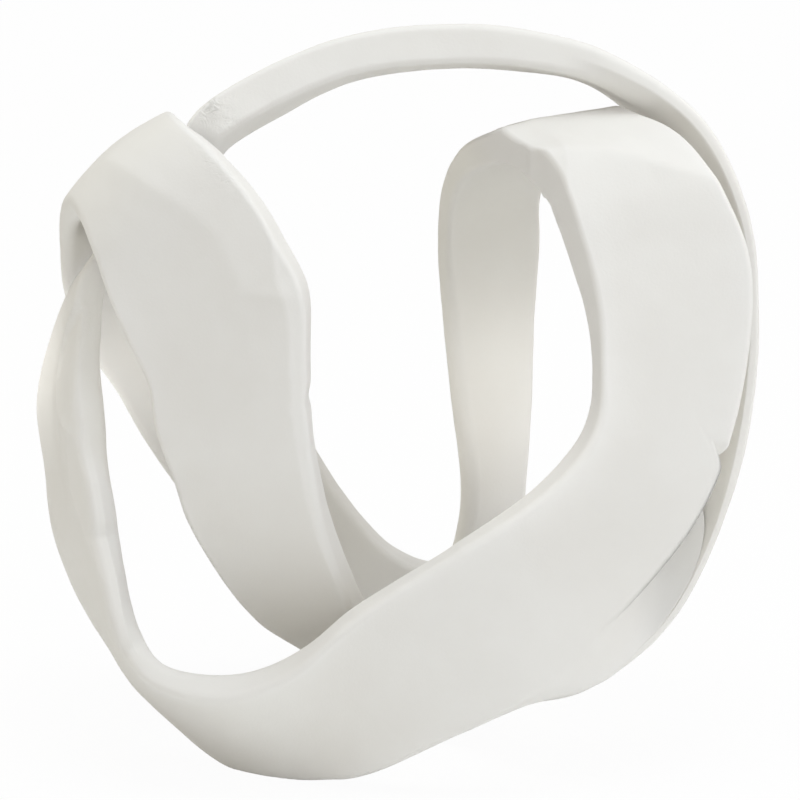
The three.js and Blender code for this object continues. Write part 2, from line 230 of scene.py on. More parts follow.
# The run-on's section: how many points of the face it takes, how far inside the rim its crease lies,
# over what length the crease is rounded and by how much, and the share of the way of its step down
RUN_ON_POINTS = 14
CREASE_INSET = 0.5
CREASE_ROUNDING = 2.5
CREASE_DROP = 1.4
STEP_SHARE = 0.07

# The undercut behind the crease, and the depths of sag at which it and the painted shade in the recess
# are whole
UNDERCUT = 1.2
UNDERCUT_SAG = 8
PAINTED_SHADE_SAG = 14

# How late the soft fall comes, how much of its thickness the run-on loses at its end, and the reach
# at which that loss is whole
SOFT_FALL_POWER = 2.5
RUN_ON_THINNING = 0.75
THINNING_REACH = 6

# Where the rim of the leading edge is dressed aslant: station, how far the outer corner is cut back,
# or the inner one where it is less than nothing, and where across the rim the cut begins
SLANT = [
    (0, -8, 0.1),
    (1.5, -15, 0.05),
    (4, -18, 0.05),
    (6.5, -17, 0.1),
    (7.5, -10, 0.1),
    (8.4, 0, 0),
    (10, 0, 1),
    (12, -3, 1),
    (13.5, -4, 1),
    (14.3, 0, 1),
    (18.4, 0, 0.1),
    (19.2, -6, 0.1),
    (21.5, -8, 0),
    (22.6, 0, 0),
    (33.2, 0, -1),
    (34.0, 2.5, -1),
    (34.8, 4.5, -1),
    (36.6, 4, -1),
    (36.95, 2, -1),
    (37.3, 0.8, -1),
    (38.6, 0.2, -1),
    (39.5, 0, -1),
    (70.5, 0, 0),
    (72, -8, 0.1),
]

# Waves in an edge: station, edge (-1 leading, 1 trailing), length along the band, push outwards
EDGE_WAVES = [
    (19.3, -1, 6, 1.6),
    (19.7, -1, 9, 1.9),
    (20.25, -1, 2.5, -1.2),
    (21.1, -1, 10, 1.6),
    (21.7, -1, 7, 0.9),
    (22.3, -1, 3.5, -1.6),
    (37.2, -1, 3, 0.6),
    (60.6, -1, 9, 1.5),
    (62.6, -1, 3, -0.9),
]

# How far across towards its edge a wave starts and is whole
WAVE_ZONE = (0.35, 0.95)

# Ridges dressed across or along the outer face: height at the start and at the end, reach to each
# side, and the line's points as station and part across
CREST_CREASE = [(36.97, -1), (36.67, -0.18), (36.44, 0.24), (36.22, 0.50), (35.9, 1)]
CREST_TOP = [(37.95, -1), (37.8, -0.55), (37.72, 0.15), (37.65, 0.9), (37.6, 1.1)]
FOLD_RIDGE = [(57.0, 0.1), (57.5, -0.05), (58.4, -0.30), (58.9, -0.44), (60.2, -0.44), (60.7, -0.85)]
RIDGES = [
    (6.8, 2.2, 11, CREST_CREASE),
    (3.2, 3.2, 6, CREST_TOP),
    (2.0, 1.6, 11, FOLD_RIDGE),
]

# A ridge and a bevel come up over these shares of their line, before and after its start, and go
# down in the same way at its end
RIDGE_FADE = (0.15, 0.05)
BEVEL_FADE = (0.1, 0.1)

# Bevels beyond a line along the outer face: towards which edge (-1 leading, 1 trailing),
# depth at the start and at the end, reach, and the line's points as for the ridges
TWIST_UPPER = [
    (16.3, -1.1),
    (16.5, -0.9),
    (16.8, -0.32),
    (17.2, 0.05),
    (17.6, 0.12),
    (18.1, -0.2),
    (18.6, -0.9),
]
TWIST_LOWER = [(17.9, -0.9), (18.6, -0.6), (19.4, -0.43), (20.3, -0.72), (21.3, -1)]
CREST_INNER = [(35.9, -0.9), (36.9, -0.6), (37.6, -0.45), (38.6, -0.45), (39.8, -0.7)]
STRAP_INNER = [(59.6, -0.95), (60.3, -0.78), (62, -0.78), (64, -0.8), (66, -0.9)]
BEVELS = [
    (-1, 3.6, 0.8, 2.0, TWIST_UPPER),
    (-1, 2.6, 2.6, 7, TWIST_LOWER),
    (-1, 2.8, 2.8, 10, CREST_INNER),
    (-1, 2.6, 2.6, 5, STRAP_INNER),
]

# Hollows and lumps: station, part across, side (1 outer, -1 inner), length, width, lift
HOLLOWS = [
    (17.6, 0.25, 1, 26, 8, -2.2),
    (18.3, -0.45, 1, 6, 4, 0.9),
    (18.9, 0.35, 1, 12, 7, -1.0),
    (19.5, 0.05, 1, 7, 5, -0.9),
    (20.2, 0.5, 1, 8, 5, 0.8),
    (20.9, 0.3, 1, 12, 7, -1.2),
    (21.7, 0.0, 1, 9, 6, -0.9),
    (35.7, -0.95, -1, 3, 5, 0.9),
    (36.2, -0.95, -1, 2.5, 5, -0.9),
    (36.75, -0.95, -1, 3, 6, 1.6),
    (37.6, -0.95, -1, 20, 12, -2.6),
    (57.0, 1.0, -1, 14, 9, 2.5),
    (62.4, 0.8, 1, 9, 8, 0.9),
    (63.0, 0.9, 1, 6, 6, -0.7),
]

# A row of shallow tool marks along the leading edge of the fold
TOOL_MARKS = {"first": 57.9, "last": 59.3, "count": 9, "length": 1.7, "width": 7, "lift": -0.3}

# Places left rough: station, edge, length along the band, and how rough
ROUGH_PLACES = [
    (12.8, -1, 6, 1.0),
    (16.7, -1, 9, 0.5),
    (37.4, -1, 4, 0.4),
    (58.3, -1, 12, 0.5),
]

# How far across towards its edge a place left rough starts and is whole
ROUGH_ZONE = (0.7, 0.95)

# How closely the dents of the hand tools and the rubbed places keep to the section's corners
DENTED_POWER = 8
DENTED_FROM = 0.9
RUBBED_POWER = 6
RUBBED_GAIN = 4

# The hand-worked skin's unevenness, in metres, and the seed of its noise
WORKING = {
    "Wave Length": 0.026,
    "Wave Height": 0.00045,
    "Dent Length": 0.008,
    "Dent Height": 0.00014,
    "Edge Dents": 1.8,
    "Chip Length": 0.0032,
    "Chip Height": 0.0005,
    "Seed": 3.0,
}


# The band's skin

def place(point):
    """A point of the route, on the part's own axes."""
    right, back, seen = point
    height = (seen - back * math.sin(LOOK_DOWN)) / math.cos(LOOK_DOWN)
    return (right - MIDDLE_RIGHT, back - MIDDLE_BACK, height)


LEAD = np.array([place(station[1]) for station in ROUTE])
TRAIL = np.array([place(station[2]) for station in ROUTE])
BUILD = np.array([station[3:5] for station in ROUTE], float)


def along(points, at):
    """A smooth closed curve through the points: values and slopes at the station numbers."""
    start = np.floor(at).astype(int)
    t = (at - start)[:, None]
    count = len(points)
    p0, p1, p2, p3 = (points[(start + step) % count] for step in (-1, 0, 1, 2))
    linear = p2 - p0
    square = 2 * p0 - 5 * p1 + 4 * p2 - p3
    cube = 3 * p1 - 3 * p2 + p3 - p0
    value = p1 + linear * t / 2 + square * t ** 2 / 2 + cube * t ** 3 / 2
    slope = linear / 2 + square * t + cube * 1.5 * t ** 2
    return value, slope


def unit(vectors):
    return vectors / np.maximum(np.linalg.norm(vectors, axis=-1, keepdims=True), 1e-9)


def smooth_step(value, low, high):
    """Nothing up to low, one from high on, and eased in between."""
    t = np.clip((value - low) / (high - low), 0, 1)
    return t * t * (3 - 2 * t)


def eased_table(table, column, at):
    """One column of a table by station, with its corners eased."""
    stations = [row[0] for row in table]
    values = [row[column] for row in table]
    shifts = np.linspace(-EASE_REACH, EASE_REACH, EASE_STEPS)
    return sum(np.interp(at + shift, stations, values) for shift in shifts) / len(shifts)


def run_of_stations():
    """Length run along the middle of the band in two laps, at fine steps of the station number."""
    stations = len(ROUTE) * 2
    fine = np.linspace(0, stations, stations * STEPS_PER_STATION + 1)
    middle = (along(LEAD, fine)[0] + along(TRAIL, fine)[0]) / 2
    steps = np.linalg.norm(np.diff(middle, axis=0), axis=1)
    return fine, np.concatenate([[0], np.cumsum(steps)])


FINE_STATIONS, FINE_RUN = run_of_stations()


def run_at(station):
    return np.interp(station, FINE_STATIONS, FINE_RUN)


def stations_of_section(start, end):
    """Station numbers from joint to joint, evenly spaced along the band."""
    first, last = run_at(start), run_at(end)
    count = int(round((last - first) / RING_STEP))
    return np.interp(np.linspace(first, last, count + 1), FINE_RUN, FINE_STATIONS)


def outline_template():
    """The section's points in order: stretch, end and side from -1 to 1, and angle on a corner."""
    rows = []
    even = np.linspace(-1, 1, FACE_POINTS)
    gathered = np.sin(even * np.pi / 2)
    face = (1 - FACE_GATHERING) * even + FACE_GATHERING * gathered
    turn = np.linspace(0, np.pi / 2, CORNER_POINTS + 1, endpoint=False)[1:]
    rim = np.linspace(1, -1, RIM_POINTS)
    rows += [("face", v, 1, 0) for v in face]
    rows += [("corner", 1, 1, np.pi / 2 - a) for a in turn]
    rows += [("rim", 1, v, 0) for v in rim]
    rows += [("corner", 1, -1, -a) for a in turn]
    rows += [("face", -v, -1, 0) for v in face]
    rows += [("corner", -1, -1, -np.pi / 2 - a) for a in turn]
    rows += [("rim", -1, -v, 0) for v in rim]
    rows += [("corner", -1, 1, np.pi - a) for a in turn]
    return rows


TEMPLATE = outline_template()


def section_points(width, thick, radius_lead, radius_trail, slant, knee):
    """Across and out distances round a flat bar's section with rounded corners, for every ring."""
    half_width = width / 2 - RIM_INSET
    half_thick = thick / 2 - FACE_INSET
    radius_lead = np.minimum(radius_lead, half_thick * CORNER_LIMIT)
    radius_trail = np.minimum(radius_trail, half_thick * CORNER_LIMIT)
    across = np.zeros((len(width), len(TEMPLATE)))
    out = np.zeros_like(across)
    for i, (kind, end, side, angle) in enumerate(TEMPLATE):
        if kind == "face":
            cut_back = np.abs(slant) * (slant * side > 0)
            low = -(half_width - radius_lead) + cut_back
            high = half_width - radius_trail
            across[:, i] = low + (high - low) * (end + 1) / 2
            out[:, i] = side * half_thick
        else:
            radius = radius_trail if end > 0 else radius_lead
            swing_across = math.cos(angle) if kind == "corner" else end
            swing_out = math.sin(angle) if kind == "corner" else 0
            across[:, i] = end * (half_width - radius) + radius * swing_across
            out[:, i] = side * (half_thick - radius) + radius * swing_out
            if end < 0:
                cut_side = np.where(slant > 0, 1, -1)
                past_knee = cut_side * (out[:, i] / half_thick - knee) / (1 - cut_side * knee)
                across[:, i] += np.abs(slant) * np.clip(past_knee, 0, 1)
    return across, out


def gauss(value, length):
    """One at nothing, and dying away over the length to both sides."""
    return np.exp(-(value / length) ** 2)


def offset_from_line(run, place_across, half_width, points):
    """Signed distance of each point of a face from a line of points, and how far along the line it is.

    A line that crosses the band is measured along the band, and one that runs with it across."""
    stations, parts = np.array(points).T
    runs = run_at(stations)
    crosses = abs(parts[-1] - parts[0]) * half_width.mean() > abs(runs[-1] - runs[0])
    if crosses:
        order = np.argsort(parts)
        part = place_across / half_width
        line_run = np.interp(part, parts[order], runs[order])
        share = (part - parts[0]) / (parts[-1] - parts[0])
        return run - line_run, np.clip(share, 0, 1)
    line_part = np.interp(run, runs, parts)
    share = (run - runs[0]) / (runs[-1] - runs[0])
    return place_across - line_part * half_width, share


def fading_ends(share, before, after):
    """One along a line, and nothing well past its two ends."""
    return smooth_step(share, -before, after) * (1 - smooth_step(share, 1 - after, 1 + before))


def dressing(run, part, half_width, side_out):
    """How far the hand-dressed marks lift each point out of its face and push its edge outwards."""
    place_across = part * half_width
    outer = np.clip(side_out, 0, 1)
    lift = np.zeros_like(part)
    push = np.zeros_like(part)
    for station, edge, length, amount in EDGE_WAVES:
        wave = edge * amount * gauss(run - run_at(station), length)
        push += wave * smooth_step(part * edge, *WAVE_ZONE)
    for start_height, end_height, reach, points in RIDGES:
        offset, share = offset_from_line(run, place_across, half_width, points)
        height = start_height + (end_height - start_height) * np.clip(share, 0, 1)
        softened = np.sqrt(offset ** 2 + 1)
        lift += height * fading_ends(share, *RIDGE_FADE) * np.exp(-softened / reach) * outer
    for edge, start_depth, end_depth, reach, points in BEVELS:
        offset, share = offset_from_line(run, place_across, half_width, points)
        depth = start_depth + (end_depth - start_depth) * np.clip(share, 0, 1)
        beyond = np.maximum(offset * edge, 0)
        lift -= depth * fading_ends(share, *BEVEL_FADE) * (1 - np.exp(-beyond / reach)) * outer
    for station, where, side, length, width, amount in HOLLOWS:
        mark = gauss(run - run_at(station), length) * gauss(place_across - where * half_width, width)
        lift += amount * mark * np.clip(side_out * side, 0, 1)
    marks = TOOL_MARKS
    from_edge = gauss(place_across + half_width, marks["width"])
    for station in np.linspace(marks["first"], marks["last"], marks["count"]):
        mark = gauss(run - run_at(station), marks["length"]) * from_edge
        lift += marks["lift"] * mark * outer
    return lift, push


def roughness_left(run, part):
    """How much of each point lies in a place left rough."""
    rough = np.zeros_like(part)
    for station, edge, length, amount in ROUGH_PLACES:
        near = amount * gauss(run - run_at(station), length) * smooth_step(part * edge, *ROUGH_ZONE)
        rough = np.maximum(rough, near)
    return rough


def run_on(wide, deep, half_width, lap):
    """Draws the front band's trailing edge on into the hoop's foot, and sinks it where it ends crisply.

    Gives each point's new place across and out, and how far it lies in the recess, which sets the
    painted shade there."""
    reach, fall, sag = (eased_table(RUN_ON, column, lap)[:, None] for column in (1, 2, 3))
    crisp = smooth_step(lap, *RUN_ON_CRISP)[:, None]
    drawn = (smooth_step(lap, *RUN_ON_STARTS) * (1 - smooth_step(lap, *RUN_ON_ENDS)))[:, None]
    rim = half_width - RIM_INSET
    first = wide[:, FACE_POINTS - 1 - RUN_ON_POINTS][:, None]
    crease = first + (rim - CREASE_INSET - first) * drawn
    before_crease = wide < first
    on_face = wide + (crease - first) * (wide + half_width) / (first + half_width)
    share = np.clip((wide - first) / (rim - first), 0, 1)
    step_back = smooth_step(share, 0, STEP_SHARE) * (1 - share)
    undercut = UNDERCUT * np.minimum(sag / UNDERCUT_SAG, 1) * step_back
    beyond = crease + share * (rim + reach - crease) - undercut
    wide = np.where(before_crease, on_face, beyond)
    near_crease = np.clip((on_face - crease + CREASE_ROUNDING) / CREASE_ROUNDING, 0, 1) ** 2
    rounded = CREASE_DROP * near_crease * drawn * crisp * before_crease
    fallen = fall * ((1 - crisp) * share ** SOFT_FALL_POWER + crisp * share)
    ending = np.minimum(reach / THINNING_REACH, 1) * smooth_step(share, 0, 1)
    deep = deep * (1 - RUN_ON_THINNING * ending) - fallen - sag * step_back - rounded
    # How far each point lies in the recess: the finish darkens it there with painted shade
    recess = np.minimum(sag / PAINTED_SHADE_SAG, 1) * (share > 0)
    return wide, deep, recess


def band_rings(at):
    """The rings of skin points at the station numbers, and what each point's attributes come from.

    That is its place across and out, both from -1 to 1, how rough it is and how far in the recess,
    which sets the painted shade there."""
    lead, lead_slope = along(LEAD, at)
    trail, trail_slope = along(TRAIL, at)
    across = trail - lead
    width = np.linalg.norm(across, axis=1)
    across = unit(across)
    travel = (lead_slope + trail_slope) / 2
    travel = unit(travel - across * (travel * across).sum(1, keepdims=True))
    face = np.cross(across, travel)
    thick, bow = along(BUILD, at)[0].T
    lap = at % len(ROUTE)
    radius_lead = eased_table(EDGE_RADIUS, 1, lap)
    radius_trail = eased_table(EDGE_RADIUS, 2, lap)
    slant = eased_table(SLANT, 1, lap)
    knee = eased_table(SLANT, 2, lap)
    wide, deep = section_points(width, thick, radius_lead, radius_trail, slant, knee)
    half_width = width[:, None] / 2
    half_thick = thick[:, None] / 2
    part = wide / half_width
    side_out = deep / half_thick
    run = run_at(lap)[:, None]
    lift, push = dressing(run, part, half_width, side_out)
    fullness = 1 - part ** 2
    deep = deep + bow[:, None] * fullness + CROWN * side_out * fullness
    deep = deep + lift * np.sign(side_out)
    wide = wide + push
    wide, deep, recess = run_on(wide, deep, half_width, lap)
    centre = (lead + trail) / 2
    rings = centre[:, None] + wide[:, :, None] * across[:, None] + deep[:, :, None] * face[:, None]
    rough = roughness_left(run, part)
    return rings, np.stack([part, side_out, rough, recess], axis=-1)


def grid_normals(points):
    """Outward normals of a closed grid of points, rings by points round."""
    forward = np.roll(points, -1, axis=0) - np.roll(points, 1, axis=0)
    around = np.roll(points, -1, axis=1) - np.roll(points, 1, axis=1)
    return unit(np.cross(around, forward))


def grid_faces(ring, next_ring):
    """Four-cornered faces from each ring of point numbers to the one after it."""
    corners = (ring, np.roll(ring, -1, axis=1), np.roll(next_ring, -1, axis=1), next_ring)
    return np.stack(corners, axis=-1).reshape(-1, 4).tolist()


def store(mesh, name, values):
    """Keeps a value for each point of a mesh as an attribute."""
    layer = mesh.attributes.new(name, "FLOAT", "POINT")
    layer.data.foreach_set("value", np.asarray(values, np.float32).reshape(-1))


def near_corners(sides):
    """Where the hand tools left more dents: more than nothing only near the section's four corners."""
    across, out = np.abs(sides[:, :, 0]), np.abs(sides[:, :, 1])
    return np.clip(across ** DENTED_POWER + out ** DENTED_POWER - DENTED_FROM, 0, 1)


def rubbed_corners(sides):
    """Where hands rub the skin: one on the section's four corners, nothing on its faces."""
    across, out = np.abs(sides[:, :, 0]), np.abs(sides[:, :, 1])
    return np.clip(across ** RUBBED_POWER * out ** RUBBED_POWER * RUBBED_GAIN, 0, 1)


def make_worked_skin_tree(material):
    """Geometry Nodes: the small unevenness left by hand dressing, pushed along the skin's normals."""
    tree = bpy.data.node_groups.new("hand_worked_skin", "GeometryNodeTree")
    tree.interface.new_socket("Geometry", in_out="INPUT", socket_type="NodeSocketGeometry")
    for title, value in WORKING.items():
        socket = tree.interface.new_socket(title, in_out="INPUT", socket_type="NodeSocketFloat")
        socket.default_value = value
    tree.interface.new_socket("Geometry", in_out="OUTPUT", socket_type="NodeSocketGeometry")
    nodes, links = tree.nodes, tree.links
    given, result = nodes.new("NodeGroupInput"), nodes.new("NodeGroupOutput")
    position = nodes.new("GeometryNodeInputPosition").outputs["Position"]
    normal = nodes.new("GeometryNodeInputNormal").outputs["Normal"]

    def calculated(operation, *terms):
        node = nodes.new("ShaderNodeMath")
        node.operation = operation
        for socket, term in zip(node.inputs, terms):
            if isinstance(term, (int, float)):
                socket.default_value = term
            else:
                links.new(term, socket)
        return node.outputs["Value"]

    def attribute(title):
        node = nodes.new("GeometryNodeInputNamedAttribute")
        node.data_type = "FLOAT"
        node.inputs["Name"].default_value = title
        return node.outputs["Attribute"]

    def unevenness(kind, number):
        """Soft noise between minus one and one, at its own length, times its own height."""
        soft = nodes.new("ShaderNodeTexNoise")
        soft.noise_dimensions = "4D"
        soft.inputs["Detail"].default_value = 0
        links.new(position, soft.inputs["Vector"])
        links.new(calculated("ADD", given.outputs["Seed"], number), soft.inputs["W"])
        links.new(calculated("DIVIDE", 1, given.outputs[kind + " Length"]), soft.inputs["Scale"])
        signed = calculated("MULTIPLY_ADD", soft.outputs[0], 2, -1)
        return calculated("MULTIPLY", signed, given.outputs[kind + " Height"])

    wave = unevenness("Wave", 0)
    dent = unevenness("Dent", 1)
    chip = calculated("MULTIPLY", unevenness("Chip", 2), attribute("rough_place"))
    edge_share = calculated("MULTIPLY_ADD", attribute("near_edge"), given.outputs["Edge Dents"], 1)
    lift = calculated("ADD", calculated("MULTIPLY_ADD", dent, edge_share, wave), chip)
    push = nodes.new("ShaderNodeVectorMath")
    push.operation = "SCALE"
    links.new(normal, push.inputs[0])
    links.new(lift, push.inputs["Scale"])
    moved = nodes.new("GeometryNodeSetPosition")
    links.new(given.outputs["Geometry"], moved.inputs["Geometry"])
    links.new(push.outputs["Vector"], moved.inputs["Offset"])
    realized = nodes.new("GeometryNodeRealizeInstances")
    links.new(moved.outputs["Geometry"], realized.inputs["Geometry"])
    finished = nodes.new("GeometryNodeSetMaterial")
    finished.inputs["Material"].default_value = material
    links.new(realized.outputs["Geometry"], finished.inputs["Geometry"])
    links.new(finished.outputs["Geometry"], result.inputs["Geometry"])
    return tree


def worked_surface(points, sides, material):
    """Runs the whole band through the hand_worked_skin tree and reads its points back.

    The band goes through in one piece, so that the unevenness runs on across the joints."""
    rings, around = points.shape[:2]
    index = np.arange(rings * around).reshape(rings, around)
    mesh = bpy.data.meshes.new("whole_band")
    faces = grid_faces(index, np.roll(index, -1, axis=0))
    mesh.from_pydata((points.reshape(-1, 3) * MM).tolist(), [], faces)
    store(mesh, "near_edge", near_corners(sides))
    store(mesh, "rough_place", sides[:, :, 2])
    whole = bpy.data.objects.new("whole_band", mesh)
    bpy.context.scene.collection.objects.link(whole)
    tree = make_worked_skin_tree(material)
    modifier = whole.modifiers.new("hand_worked_skin", "NODES")
    modifier.node_group = tree
    for socket in tree.interface.items_tree:
        if socket.in_out == "INPUT" and socket.name in WORKING:
            modifier[socket.identifier] = WORKING[socket.name]
    evaluated = whole.evaluated_get(bpy.context.evaluated_depsgraph_get())
    worked = bpy.data.meshes.new_from_object(evaluated)
    flat = np.zeros(len(worked.vertices) * 3)
    worked.vertices.foreach_get("co", flat)
    whole.modifiers.remove(modifier)
    bpy.data.objects.remove(whole)
    bpy.data.meshes.remove(worked)
    bpy.data.meshes.remove(mesh)
    return flat.reshape(points.shape) / MM


def skin_mesh(name, points, normals, sides):
    """One section's closed mesh, whose normals run on into its neighbours'."""
    rings, around = points.shape[:2]
    index = np.arange(rings * around).reshape(rings, around)
    faces = grid_faces(index[:-1], index[1:])
    faces.append(index[0][::-1].tolist())
    faces.append(index[-1].tolist())
    mesh = bpy.data.meshes.new(name)
    mesh.from_pydata((points.reshape(-1, 3) * MM).tolist(), [], faces)
    mesh.polygons.foreach_set("use_smooth", [True] * len(faces))
    corners = np.zeros(len(mesh.loops), int)
    mesh.loops.foreach_get("vertex_index", corners)
    loops = normals.reshape(-1, 3)[corners]
    for polygon in list(mesh.polygons)[-2:]:
        loops[list(polygon.loop_indices)] = tuple(polygon.normal)
    mesh.normals_split_custom_set(loops.tolist())
    store(mesh, "edge", rubbed_corners(sides))
    store(mesh, "rough_place", sides[:, :, 2])
    store(mesh, "recess", sides[:, :, 3])
    return mesh


def build_band(material):
    """The fifteen cast sections, by name, cut from one closed grid of rings."""
    stretches = [stations_of_section(start, end) for _, start, end in SECTIONS]
    at = np.concatenate([stretch[:-1] for stretch in stretches])
    points, sides = band_rings(at)
    points = worked_surface(points, sides, material)
    points[:, :, 2] = np.maximum(points[:, :, 2], FLOOR_HEIGHT)
    normals = grid_normals(points)
    pieces = {}
    first = 0
    for (name, _, _), stretch in zip(SECTIONS, stretches):
        rows = np.arange(first, first + len(stretch)) % len(at)
        mesh = skin_mesh("cast_" + name, points[rows], normals[rows], sides[rows])
        piece = bpy.data.objects.new("cast_" + name, mesh)
        bpy.context.scene.collection.objects.link(piece)
        pieces[name] = piece
        first += len(stretch) - 1
    return pieces


# Finishes

CAST_SHADE = (0.775, 0.755, 0.715)
CAST_LIGHT = (0.805, 0.79, 0.755)
RUBBED_WHITE = (0.83, 0.815, 0.785)
# Painted shade: the colour that darkens the recess behind the front band's run-on
RECESS_PAINTED_SHADE = (0.6, 0.595, 0.575)
SCRATCH_SOIL = (0.45, 0.44, 0.41)
STEEL_DARK = (0.32, 0.32, 0.33)
STEEL_LIGHT = (0.42, 0.42, 0.43)


def new_group(name, inputs, outputs):
    """A shader node group with named inputs and outputs, and its two end nodes."""
    group = bpy.data.node_groups.new(name, "ShaderNodeTree")
    for title, kind, value in inputs:
        socket = group.interface.new_socket(title, in_out="INPUT", socket_type=kind)
        socket.default_value = value
    for title, kind in outputs:
        group.interface.new_socket(title, in_out="OUTPUT", socket_type=kind)
    return group, group.nodes.new("NodeGroupInput"), group.nodes.new("NodeGroupOutput")


def make_grain_group():
    """Fine pores and soft clouding on Object coordinates."""
    group, given, result = new_group(
        "surface_grain",
        [("Cloud Scale", "NodeSocketFloat", 20.0), ("Pore Scale", "NodeSocketFloat", 900.0)],
        [("Cloud", "NodeSocketFloat"), ("Pores", "NodeSocketFloat")],
    )
    nodes, links = group.nodes, group.links
    place_node = nodes.new("ShaderNodeTexCoord")
    cloud = nodes.new("ShaderNodeTexNoise")
    cloud.inputs["Detail"].default_value = 4
    pores = nodes.new("ShaderNodeTexNoise")
    pores.inputs["Detail"].default_value = 3
    pores.inputs["Roughness"].default_value = 0.6
    links.new(place_node.outputs["Object"], cloud.inputs["Vector"])
    links.new(place_node.outputs["Object"], pores.inputs["Vector"])
    links.new(given.outputs["Cloud Scale"], cloud.inputs["Scale"])
    links.new(given.outputs["Pore Scale"], pores.inputs["Scale"])
    links.new(cloud.outputs["Fac"], result.inputs["Cloud"])
    links.new(pores.outputs["Fac"], result.inputs["Pores"])
    return group


def blank_material(name):
    """A material with nothing but a Principled BSDF in it."""
    material = bpy.data.materials.new(name)
    material.use_nodes = True
    nodes = material.node_tree.nodes
    nodes.clear()
    shader = nodes.new("ShaderNodeBsdfPrincipled")
    surface = nodes.new("ShaderNodeOutputMaterial")
    material.node_tree.links.new(shader.outputs["BSDF"], surface.inputs["Surface"])
    return material, nodes, material.node_tree.links, shader


def mix_colour(nodes, links, factor, low, high):
    """Goes from one colour to another with the factor. Each is a colour or a socket."""
    mix = nodes.new("ShaderNodeMix")
    mix.data_type = "RGBA"
    links.new(factor, mix.inputs["Factor"])
    for socket, value in ((mix.inputs["A"], low), (mix.inputs["B"], high)):
        if isinstance(value, tuple):
            socket.default_value = value + (1.0,)
        else:
            links.new(value, socket)
    return mix.outputs["Result"]


def spread(nodes, links, value, from_low, from_high, to_low, to_high):
    """Spreads one range of a value over another range."""
    remap = nodes.new("ShaderNodeMapRange")
    links.new(value, remap.inputs["Value"])
    remap.inputs["From Min"].default_value = from_low
    remap.inputs["From Max"].default_value = from_high
    remap.inputs["To Min"].default_value = to_low
    remap.inputs["To Max"].default_value = to_high
    return remap.outputs["Result"]


def make_cast_finish(grain):
    """Matte off-white casting: faint clouding, fine pores, rubbed edges, painted shade in the recess
    and soiled scratches.
    """
    material, nodes, links, shader = blank_material("cast_off_white")
    effect = nodes.new("ShaderNodeGroup")
    effect.node_tree = grain
    effect.inputs["Cloud Scale"].default_value = 16
    effect.inputs["Pore Scale"].default_value = 1100
    cloud = spread(nodes, links, effect.outputs["Cloud"], 0.35, 0.65, 0, 1)
    colour = mix_colour(nodes, links, cloud, CAST_SHADE, CAST_LIGHT)
    edge = nodes.new("ShaderNodeAttribute")
    edge.attribute_name = "edge"
    rubbed = spread(nodes, links, edge.outputs["Fac"], 0, 1, 0, 0.5)
    colour = mix_colour(nodes, links, rubbed, colour, RUBBED_WHITE)
    # Painted shade: the colour darkens in the recess behind the front band's run-on
    recess = nodes.new("ShaderNodeAttribute")
    recess.attribute_name = "recess"
    painted_shade = spread(nodes, links, recess.outputs["Fac"], 0, 1, 0, 0.38)
    colour = mix_colour(nodes, links, painted_shade, colour, RECESS_PAINTED_SHADE)
    marks = scratches(nodes, links)
    soiled = spread(nodes, links, marks, 0.42, 0.62, 0, 0.55)
    colour = mix_colour(nodes, links, soiled, colour, SCRATCH_SOIL)
    links.new(colour, shader.inputs["Base Color"])
    rough = spread(nodes, links, effect.outputs["Cloud"], 0.3, 0.7, 0.78, 0.92)
    links.new(rough, shader.inputs["Roughness"])
    shader.inputs["Specular IOR Level"].default_value = 0.3
    bump = nodes.new("ShaderNodeBump")
    bump.inputs["Strength"].default_value = 0.25
    bump.inputs["Distance"].default_value = 0.0002
    links.new(effect.outputs["Pores"], bump.inputs["Height"])
    scratched = nodes.new("ShaderNodeBump")
    scratched.inputs["Strength"].default_value = 0.9
    scratched.inputs["Distance"].default_value = 0.0008
    links.new(marks, scratched.inputs["Height"])
    links.new(bump.outputs["Normal"], scratched.inputs["Normal"])
    links.new(scratched.outputs["Normal"], shader.inputs["Normal"])
    return material


def scratches(nodes, links):
    """Height of the scratches in the places left rough, on the rough_place attribute."""
    place_node = nodes.new("ShaderNodeTexCoord")
    marks = nodes.new("ShaderNodeTexNoise")
    marks.inputs["Scale"].default_value = 330
    marks.inputs["Detail"].default_value = 5
    marks.inputs["Distortion"].default_value = 1.6
    links.new(place_node.outputs["Object"], marks.inputs["Vector"])
    left_rough = nodes.new("ShaderNodeAttribute")
    left_rough.attribute_name = "rough_place"
    height = nodes.new("ShaderNodeMath")
    height.operation = "MULTIPLY"
    links.new(marks.outputs["Fac"], height.inputs[0])
    links.new(left_rough.outputs["Fac"], height.inputs[1])
    return height.outputs["Value"]


def make_pin_finish(grain):
    """Ground steel of the hidden dowel pins."""
    material, nodes, links, shader = blank_material("ground_steel")
    effect = nodes.new("ShaderNodeGroup")
    effect.node_tree = grain
    effect.inputs["Cloud Scale"].default_value = 300
    effect.inputs["Pore Scale"].default_value = 3000
    colour = mix_colour(nodes, links, effect.outputs["Cloud"], STEEL_DARK, STEEL_LIGHT)
    links.new(colour, shader.inputs["Base Color"])
    shader.inputs["Metallic"].default_value = 1.0
    rough = spread(nodes, links, effect.outputs["Pores"], 0.3, 0.7, 0.28, 0.45)
    links.new(rough, shader.inputs["Roughness"])
    bump = nodes.new("ShaderNodeBump")
    bump.inputs["Strength"].default_value = 0.15
    bump.inputs["Distance"].default_value = 0.0001
    links.new(effect.outputs["Pores"], bump.inputs["Height"])
    links.new(bump.outputs["Normal"], shader.inputs["Normal"])
    return material


